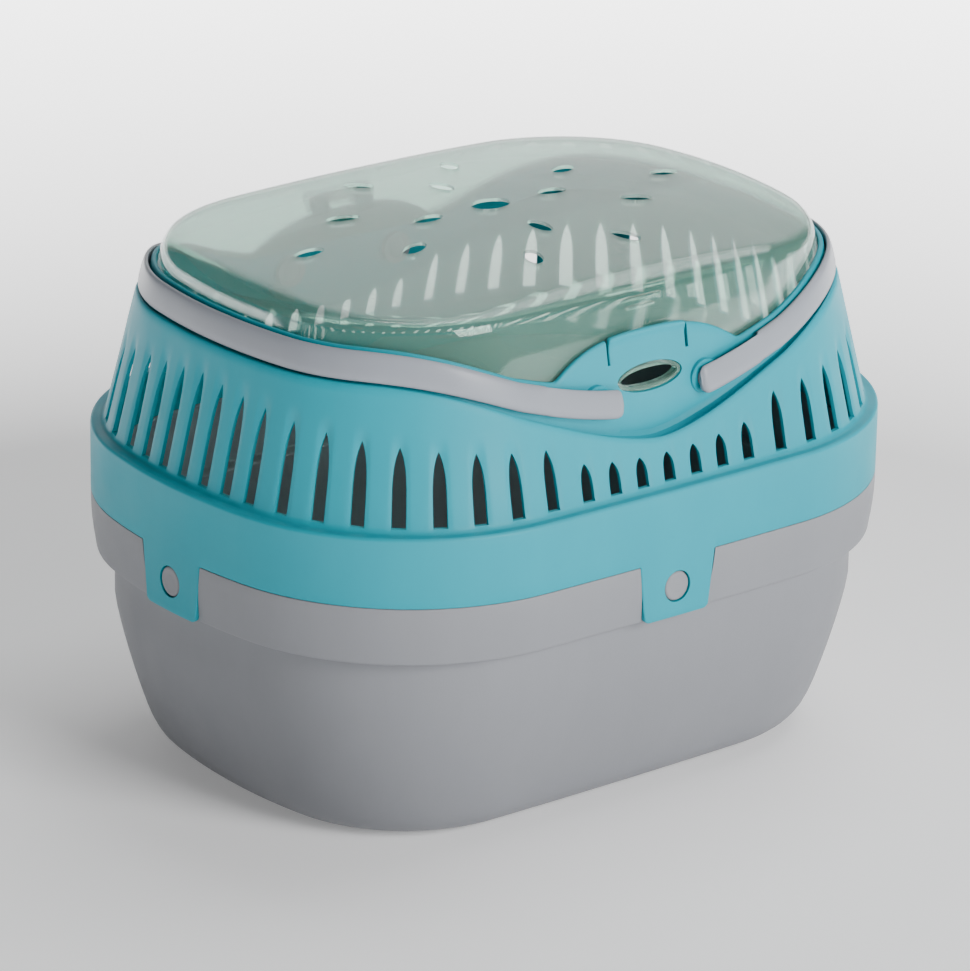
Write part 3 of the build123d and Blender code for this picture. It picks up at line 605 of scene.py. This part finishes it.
def hinge_brackets():
    """Two brackets on the back panel, each with a knuckle for the pin."""
    start, low, high = LID_KNUCKLE / 2 + 0.4, 180.5, 187.5
    outline = [(HALF_Y - collar_inset(low) - 0.6, low), (HINGE_Y + 3.0, 191.6), (HINGE_Y - 3.0, 193.0),
               (HALF_Y - collar_inset(high) - 1, high)]
    parts = []
    for x in (start, -start - HOUSING_KNUCKLE):
        parts.append(prism([(x * MM, y * MM, z * MM) for y, z in outline], (HOUSING_KNUCKLE * MM, 0, 0)))
        ring = [(0, PIN_HOLE)] + knuckle(HOUSING_KNUCKLE) + [(HOUSING_KNUCKLE, PIN_HOLE)]
        parts.append(lathe((x, HINGE_Y, HINGE_Z), (1, 0, 0), (0, 1, 0), ring, hollow=True))
    return parts


def make_housing():
    """Shell with its air slots, the hole for the lid's nose, the latch's opening and the pivot holes."""
    count = 1180
    rows = []
    for i in range(count):
        s = ROUND * i / count
        col = column(s)
        rows.append([inward(col, inset, z) for inset, z in housing_section(col, s)])
    piece = make("housing_shell", *loops(rows), TEAL)
    cutters = [slot_cutter(way, top) for way, top in SLOTS]
    cutters.append(oval(NOSE_HALF_X + 0.5, NOSE_HALF_Z + 0.5, 0, NOSE_Z, -HALF_Y, -85))
    cutters.append(block(-LATCH_HALF - 1, LATCH_HALF + 1, -HALF_Y, -80, LATCH_ROOT, 200))
    for x in (-PIVOT_X, PIVOT_X):
        for y0, y1 in ((-110, -85), (85, 110)):
            cutters.append(oval(PEG_HOLE, PEG_HOLE, x, PIVOT_Z, y0, y1, 32))
    carve(piece, cutters)
    settle(piece, "housing", "shell")
    fittings = make("housing_bosses", *merged(pivot_bosses() + hinge_brackets()), TEAL, 35.0)
    settle(fittings, None, "shell")


# Latch tab

def latch_section(x, trim):
    """Section of the latch tab, with a round root and its top curled out, thinner by the trim."""
    top = arch_line(x) + 0.8 - trim
    outside, inside = [], []
    for z in spaced(LATCH_ROOT, top - 0.7, 10):
        curl = max(0.0, 1.3 * ((z - top + 4.5) / 4.5)) ** 1.5
        outside.append((collar_inset(z) - curl + trim, z))
        inside.append((collar_inset(z) + WALL - curl * 0.7 - trim, z))
    front, back = outside[-1][0], inside[-1][0]
    lip = [(front + 0.25, top - 0.2), (front + 0.75, top), (back - 0.7, top), (back - 0.2, top - 0.25)]
    middle, radius = (outside[0][0] + inside[0][0]) / 2, WALL / 2 - trim
    root = [(middle + radius * cos(radians(turn)), LATCH_ROOT - radius * sin(radians(turn)))
            for turn in range(0, 181, 20)]
    return outside + lip + inside[::-1] + root


def make_latch():
    """The springy tongue between the slits of the front panel."""
    xs = [-LATCH_HALF, 0.2 - LATCH_HALF, 0.6 - LATCH_HALF] + spaced(1.9 - LATCH_HALF, LATCH_HALF - 1.9, 45)
    xs += [LATCH_HALF - 0.6, LATCH_HALF - 0.2, LATCH_HALF]
    trims = [0.45, 0.15] + [0.0] * (len(xs) - 4) + [0.15, 0.45]
    rows = []
    for x, trim in zip(xs, trims):
        col = column(FRONT_MIDDLE + x)
        rows.append([inward(col, inset, z) for inset, z in latch_section(x, trim)])
    piece = make("latch_tongue", *solid_through(rows), TEAL, 50.0)
    settle(piece, "latch_tab", "latch")


# Snap tabs

def make_snap_tab(side):
    """A tongue that carries the belt's face on downwards; its root lies inside the belt."""
    rows = []
    for share in [-1.0, -0.99, -0.975, -0.95] + spaced(-0.92, 0.92, 45) + [0.95, 0.975, 0.99, 1.0]:
        edge = TAB_TIP_HALF * (1 - abs(share))
        low = TAB_TIP + quarter_round(2.4, edge)
        trim = 0.4 * max(0.0, 1 - edge / 0.4) ** 2
        outside, inside = [], []
        for z in spaced(TAB_ROOT, low + 0.4, 12) + [low + 0.12]:
            half = mix(TAB_TIP_HALF, TAB_TOP_HALF, (z - TAB_TIP) / TAB_LENGTH)
            col = column(MIDDLES[side] + share * half)
            lip = 0.15 if z < low + 0.3 else 0.0
            outside.append(inward(col, 0.02 + trim + lip, z))
            inside.append(inward(col, TAB_THICK - trim - lip, z))
        col = column(MIDDLES[side] + share * TAB_TIP_HALF)
        tip = [inward(col, 0.6 + trim / 2, low), inward(col, TAB_THICK - 0.6, low)]
        rows.append(outside + tip + inside[::-1])
    piece = make("tongue_" + side, *solid_through(rows), TEAL)
    hole, polygons = oval(6.2, 6.2, 0.0, STUD_Z, -HALF_Y - 5, -HALF_Y + 8)
    carve(piece, [(sided(hole, side), polygons)])
    settle(piece, "snap_tab_" + side, side + "_tab")


# Tub

def tub_outer():
    """Outer face of the tub from the foot to the joint, with the step under the band."""
    foot = tub_inset(0)
    wall = tub_inset(LEAN_TOP)
    heights = [0.8, 1.4, 2.2, 3.2, 4.4, 6, 8, 10.5, 14, 18, 23, 28, 34, 40, 46, 52, 57, 62, 67, 72, 77]
    points = [(foot + 3.5, 0), (foot + 0.7, 0.0), (foot, 0.35)] + [(tub_inset(z), z) for z in heights]
    points += [(wall, BAND_LOW - 0.7), (wall - 0.15, BAND_LOW - 0.2), (wall - 0.6, BAND_LOW)]
    points += [(5.0, BAND_LOW), (2.7, BAND_LOW), (2.25, BAND_LOW + 0.08)]
    points += [(1.95, BAND_LOW + 0.35), (1.83, BAND_LOW + 0.8)]
    points += [(1.6, 84.5), (1.0, 88.5), (0.5, 92.5), (0.15, 97.0), (0, 101.0)]
    return points + [(0, JOINT - 0.6), (0.15, JOINT - 0.2), (0.55, JOINT - 0.05)]


def tub_section():
    """Section from the middle of the floor's underside up the outside and down the inside."""
    inner = [(tub_inset(z) + TUB_WALL, z) for z in spaced(6.0, LEAN_TOP, 12)]
    wall, foot = inner[-1][0], tub_inset(0)
    section = [(60.0, 1.5), (foot + 5.5, 1.5), (foot + 5.0, 1.2)] + tub_outer()
    section += [(2.5, JOINT - 0.05), (2.55, 105.2), (2.6, 111.2), (2.9, 111.7), (4.2, 111.7), (4.6, 111.2)]
    section += [(4.7, 105.0), (4.7, 95.0), (4.7, 85.0), (5.2, 84.5), (wall - 0.8, 84.4), (wall - 0.1, 83.8)]
    section += [(wall, 82.8), (wall, 72.0)] + inner[::-1]
    return section + [(inner[0][0] + 1.2, 4.6), (inner[0][0] + 3.2, 3.9), (60.0, 3.9)]


def tab_pocket(side):
    """Recess in the band for a snap tab, a gap wider than the tab all round."""
    gap, over, corner, outside = 0.3, 7, 2.5, 5
    top, bottom = TAB_TOP_HALF + TAB_LEAN * over + gap, TAB_TIP_HALF + gap
    tip = TAB_TIP - gap
    right = [(top, TAB_ROOT + over), (bottom, tip + corner)]
    right += [(bottom - 0.7, tip + 0.75), (bottom - corner, tip)]
    left = [(-x, z) for x, z in right[::-1]]
    outline = left[-1:] + right + left[:-1]
    pocket, polygons = prism([(x * MM, (-HALF_Y - outside) * MM, z * MM) for x, z in outline],
                             (0, (outside + 2.45) * MM, 0))
    return sided(pocket, side), polygons


def make_tub():
    """Shell with pockets for the snap tabs, and a stud in each pocket."""
    section = tub_section()
    count, size = 640, len(section)
    rows = []
    for i in range(count):
        col = column(ROUND * i / count)
        rows.append([inward(col, inset, z) for inset, z in section])
    verts, faces = loops(rows, True, False)
    faces.append(tuple(i * size for i in range(count)))
    faces.append(tuple(i * size + size - 1 for i in range(count))[::-1])
    piece = make("tub_shell", verts, faces, GREY)
    carve(piece, [tab_pocket(side) for side in SIDES])
    settle(piece, "tub", "shell")
    stud = [(0, 5.8), (2.1, 5.8), (2.55, 5.62), (2.85, 5.2), (2.95, 4.4), (2.75, 3.7), (2.85, 2.4)]
    stud.append((2.9, 0.05))
    for side in SIDES:
        points, polygons = lathe((0, -HALF_Y + 3.2, STUD_Z), (0, -1, 0), (1, 0, 0), stud)
        button = make("stud_" + side, sided(points, side), polygons, GREY, 60.0)
        settle(button, None, "shell")


# Handles

BOW_HALF, BOW_SIDES = 5.4, 28
TIP_ROUND, TIP_ROUND_LOW = 2.4, 4.2
PANEL_CLEAR = 97.9


def bow_section(col, end):
    """Rounded section of a bow between wall and collar; end is the distance from the nearer tip."""
    cut, low_cut = (quarter_round(radius, end) for radius in (TIP_ROUND, TIP_ROUND_LOW))
    middle = handle_line(col[0]) + BOW_HALF
    row = []
    for i in range(BOW_SIDES):
        turn = 2 * pi * (i + 0.5) / BOW_SIDES
        p = abs(cos(turn)) ** 0.8 * (1 if cos(turn) > 0 else -1)
        q = abs(sin(turn)) ** 0.62 * (1 if sin(turn) > 0 else -1)
        z = middle + q * (BOW_HALF - (cut if q > 0 else low_cut))
        outer = wall_inset(z) + 0.05
        inner = collar_inset(z) - 0.6
        if abs(col[0]) < 52:
            inner = min(inner, abs(col[1]) - PANEL_CLEAR)
        centre, thick = (outer + inner) / 2, (inner - outer) / 2
        share = (thick - min(cut, 1.2)) / thick
        row.append(inward(col, centre + p * thick * share, z))
    return row


def make_handle(name, turned):
    """A bow that lies over the rim, with square tips rounded at the corners and two pegs."""
    start, stop = BACK_MIDDLE + 21.6, FRONT_MIDDLE - 16.5
    length = stop - start
    tip = [0.0, 0.25, 0.6, 1.0, 1.5, 2.1, 3.0]
    places = tip + spaced(4.5, length - 4.5, 260) + [length - place for place in tip[::-1]]
    rows = [bow_section(column(start + place), min(place, length - place)) for place in places]
    parts = [solid_through(rows)]
    peg = [(0, PEG - 0.42), (0.4, PEG), (9.0, PEG)]
    parts += [lathe((-PIVOT_X, y * 90.9, PIVOT_Z), (0, y, 0), (1, 0, 0), peg) for y in (-1, 1)]
    if turned:
        parts = [([(-x, -y, z) for x, y, z in points], polygons) for points, polygons in parts]
    piece = make(name + "_bow", *merged(parts), LILAC, 50.0)
    settle(piece, name, name.split("_")[0] + "_bow")


# Lid

CROWN_TOP, CROWN_LONG_RADIUS, CROWN_CROSS_RADIUS = 213.0, 1230.0, 650.0
SHOULDER, SHOULDER_TOP, SHOULDER_ROUND = 199.7, CROWN_TOP - 2.4, 15.5
SKIRT_INSET = 2.5


def crown_z(x, y, depth):
    """Height of the crown, curved both ways, at a depth under its outer face."""
    drop = CROWN_LONG_RADIUS - sqrt(CROWN_LONG_RADIUS**2 - x * x)
    return CROWN_TOP - depth - CROWN_CROSS_RADIUS + sqrt((CROWN_CROSS_RADIUS - drop) ** 2 - y * y)


def lid_surface(col, depth, low):
    """One face of the lid from its lower edge over the shoulder to the middle."""
    points = []
    for z in spaced(low, SHOULDER, 14):
        points.append(inward(col, collar_inset(z) + SKIRT_INSET + depth, z))
    edge = collar_inset(SHOULDER) + SKIRT_INSET + depth
    top = SHOULDER_TOP - depth
    rise = top - SHOULDER
    for turn in spaced(6, 90, 15):
        inset = edge + SHOULDER_ROUND * (1 - cos(radians(turn))) + 0.24 * rise * sin(radians(turn))
        x, y, _ = inward(col, inset, 0)
        z = SHOULDER + rise * sin(radians(turn))
        high = crown_z(x / MM, y / MM, depth)
        points.append((x, y, -soft_max(-z, -high, 0.9) * MM))
    x0, y0, _ = points[-1]
    for share in spaced(0.04, 0.995, 26):
        x, y = x0 * (1 - share), y0 * (1 - share)
        high = crown_z(x / MM, y / MM, depth)
        points.append((x, y, -soft_max(-(top + share * 4), -high, 0.9 * (1 - share)) * MM))
    return points


def lid_low(col):
    """Height of the lid's lower edge, which drops to a tongue with round corners at the front."""
    half, corner = 16.5, 2.5
    low = max(collar_line(col[0]) - 2.0, 175.0)
    if col[1] < 0 and abs(col[0]) < half:
        low = min(low, 163.5 + quarter_round(corner, half - abs(col[0])))
    return low


def lid_rows():
    """Sections of the lid's wall round the plan, closer together at the tongue."""
    near = [FRONT_MIDDLE + x for x in spaced(-17.5, 17.5, 71)]
    places = [ROUND * i / 420 for i in range(420)]
    places = sorted([s for s in places if not near[0] - 0.5 < s < near[-1] + 0.5] + near)
    rows = []
    for s in places:
        col = column(s)
        low = lid_low(col)
        rows.append(lid_surface(col, 0.0, low) + lid_surface(col, LID_WALL, low)[::-1])
    return rows


def grip_bars():
    """Three raised bars across the front of the shoulder, each shorter than the one above."""
    bars = []
    for i, length in enumerate((30.0, 21.0, 14.0)):
        z = 202.8 - 3.1 * i
        y = -HALF_Y + collar_inset(z) + SKIRT_INSET + max(0.0, 0.3 * (z - SHOULDER))
        end = [(0, 0.2), (0.15, 0.55), (0.5, 0.85), (1.0, 0.95)]
        grip = end + [(length - along, radius) for along, radius in end[::-1]]
        bars.append(lathe((-length / 2, y, z), (1, 0, 0), (0, 1, 0), grip, 16))
    return bars


def vent_spots():
    """Place, angle, length and width of the vents: a middle one, rings of four and eight, two far out."""
    spots = [(0, 0, 0, 16.8, 12.0)]
    for count, reach, first in ((4, 30, 0), (8, 58, 22.5)):
        for i in range(count):
            angle = first + 360 // count * i
            spots.append((reach * cos(radians(angle)), reach * sin(radians(angle)), angle, 13.0, 7.0))
    return spots + [(-86, 0, 0, 13.0, 7.0), (86, 0, 0, 13.0, 7.0)]


def vent_cutter(x, y, angle, length, width):
    """Oval plug that goes up through the crown."""
    c, d = cos(radians(angle)), sin(radians(angle))
    outline = []
    for i in range(36):
        turn = 2 * pi * i / 36
        u, v = length / 2 * cos(turn), width / 2 * sin(turn)
        outline.append(((x + u * c - v * d) * MM, (y + u * d + v * c) * MM, 185 * MM))
    return prism(outline, (0, 0, 40 * MM))


def pin_cutter():
    """Hole for the hinge pin, right through the lid's knuckle."""
    outline = []
    for i in range(24):
        turn = 2 * pi * i / 24
        y, z = HINGE_Y + PIN_HOLE * cos(turn), HINGE_Z + PIN_HOLE * sin(turn)
        outline.append((-8 * MM, y * MM, z * MM))
    return prism(outline, (16 * MM, 0, 0))


def make_lid():
    """Clear shell with its hollow nose, grip bars, hinge knuckle and vents."""
    piece = make("lid_shell", *loops(lid_rows()), CLEAR, 45.0)
    face = -(HALF_Y - collar_inset(NOSE_Z))
    half, wall = LID_KNUCKLE / 2, HALF_Y - collar_inset(HINGE_Z)
    extras = [oval(NOSE_HALF_X, NOSE_HALF_Z, 0, NOSE_Z, face + 0.4, face + 3.6)] + grip_bars()
    extras.append(block(-half, half, wall - 3.7, HINGE_Y, HINGE_Z + 0.3, HINGE_Z + 2.9))
    extras.append(lathe((-half, HINGE_Y, HINGE_Z), (1, 0, 0), (0, 1, 0), knuckle(LID_KNUCKLE), 32))
    for extra in extras:
        carve(piece, [extra], "UNION", 40.0)
    cutters = [oval(NOSE_HALF_X - 1.5, NOSE_HALF_Z - 1.5, 0, NOSE_Z, face - 5, face + 12)]
    cutters += [vent_cutter(*spot) for spot in vent_spots()] + [pin_cutter()]
    carve(piece, cutters, "DIFFERENCE", 40.0)
    settle(piece, "lid", "lid")


make_tub()
make_housing()
make_latch()
for side in SIDES:
    make_snap_tab(side)
make_handle("left_handle", False)
make_handle("right_handle", True)
make_lid()


# Floor, light and camera

FLOOR_HALF = 6
CAMERA_TURN, CAMERA_RISE, CAMERA_ROLL = -38.798, 20.572, 0.980
AIM_Z, DISTANCE, SHIFT_RIGHT, SHIFT_UP = 118.11, 2159, 0.276, 18.3
FOCAL_PIXELS, PICTURE_PIXELS, SENSOR = 5597, 970, 36.0


def floor():
    """Pale floor, far larger than the view, that glows more with the distance."""
    corners = [(-FLOOR_HALF, -FLOOR_HALF, 0), (FLOOR_HALF, -FLOOR_HALF, 0),
               (FLOOR_HALF, FLOOR_HALF, 0), (-FLOOR_HALF, FLOOR_HALF, 0)]
    mesh = bpy.data.meshes.new("floor")
    mesh.from_pydata(corners, [], [(0, 1, 2, 3)])
    obj = bpy.data.objects.new("floor", mesh)
    bpy.context.scene.collection.objects.link(obj)
    mat, tree, shader = new_material("floor_paper")
    paper = two_tone(tree, noise(tree, 30.0, 2.0), (0.83, 0.83, 0.84), (0.86, 0.86, 0.865))
    where = add(tree, "ShaderNodeTexCoord")
    away = add(tree, "ShaderNodeVectorMath", operation="LENGTH")
    tree.links.new(where.outputs["Object"], away.inputs[0])
    glow = spread(tree, away.outputs["Value"], 0.2, 4.0, 0.36, 1.1)
    tree.links.new(paper, shader.inputs["Base Color"])
    tree.links.new(glow, shader.inputs["Emission Strength"])
    put(shader, {"Roughness": 0.9, "Emission Color": (1.0, 1.0, 1.0, 1)})
    obj.data.materials.append(mat)


def softbox(name, place, target, size, power):
    """Square area light that looks at a point, in metres and watts."""
    data = bpy.data.lights.new(name, "AREA")
    data.shape = "RECTANGLE"
    data.size = size
    data.size_y = size
    data.energy = power
    obj = bpy.data.objects.new(name, data)
    obj.location = place
    obj.rotation_euler = (Vector(target) - Vector(place)).to_track_quat("-Z", "Y").to_euler()
    bpy.context.scene.collection.objects.link(obj)


def camera():
    """Long lens at the photograph's angle."""
    azimuth, elevation, roll = radians(CAMERA_TURN), radians(CAMERA_RISE), radians(CAMERA_ROLL)
    back = Vector((sin(azimuth) * cos(elevation), -cos(azimuth) * cos(elevation), sin(elevation)))
    right = Vector((cos(azimuth), sin(azimuth), 0))
    up = back.cross(right)
    place = Vector((0, 0, AIM_Z)) + DISTANCE * back - SHIFT_RIGHT * right - SHIFT_UP * up
    lean_right = cos(roll) * right + sin(roll) * up
    lean_up = cos(roll) * up - sin(roll) * right
    data = bpy.data.cameras.new("camera")
    data.sensor_fit = "HORIZONTAL"
    data.sensor_width = SENSOR
    data.lens = FOCAL_PIXELS / PICTURE_PIXELS * SENSOR
    data.clip_end = 50.0
    obj = bpy.data.objects.new("camera", data)
    turn = Matrix((lean_right, lean_up, back)).transposed().to_4x4()
    obj.matrix_world = Matrix.Translation(place * MM) @ turn
    bpy.context.scene.collection.objects.link(obj)
    bpy.context.scene.camera = obj


def surroundings(strength, peak, direction):
    """Dim, white surroundings with one soft, bright part in a direction, which the lid reflects."""
    world = bpy.data.worlds.new("studio")
    world.use_nodes = True
    tree = world.node_tree
    back = tree.nodes["Background"]
    put(back, {"Color": (1.0, 1.0, 1.0, 1)})
    where = add(tree, "ShaderNodeTexCoord")
    toward = add(tree, "ShaderNodeVectorMath", {1: direction}, operation="DOT_PRODUCT")
    tree.links.new(where.outputs["Generated"], toward.inputs[0])
    glow = spread(tree, toward.outputs["Value"], strength, peak, 0.76, 1.0, interpolation_type="SMOOTHSTEP")
    tree.links.new(glow, back.inputs["Strength"])
    bpy.context.scene.world = world


floor()
surroundings(0.08, 1.5, (0.595, 0.739, 0.316))
softbox("key", (0.35, -2.25, 1.0), (0, 0, 0.1), 1.1, 80)
softbox("top", (0.8, 0.1, 1.8), (0, 0, 0.1), 1.5, 24)
camera()
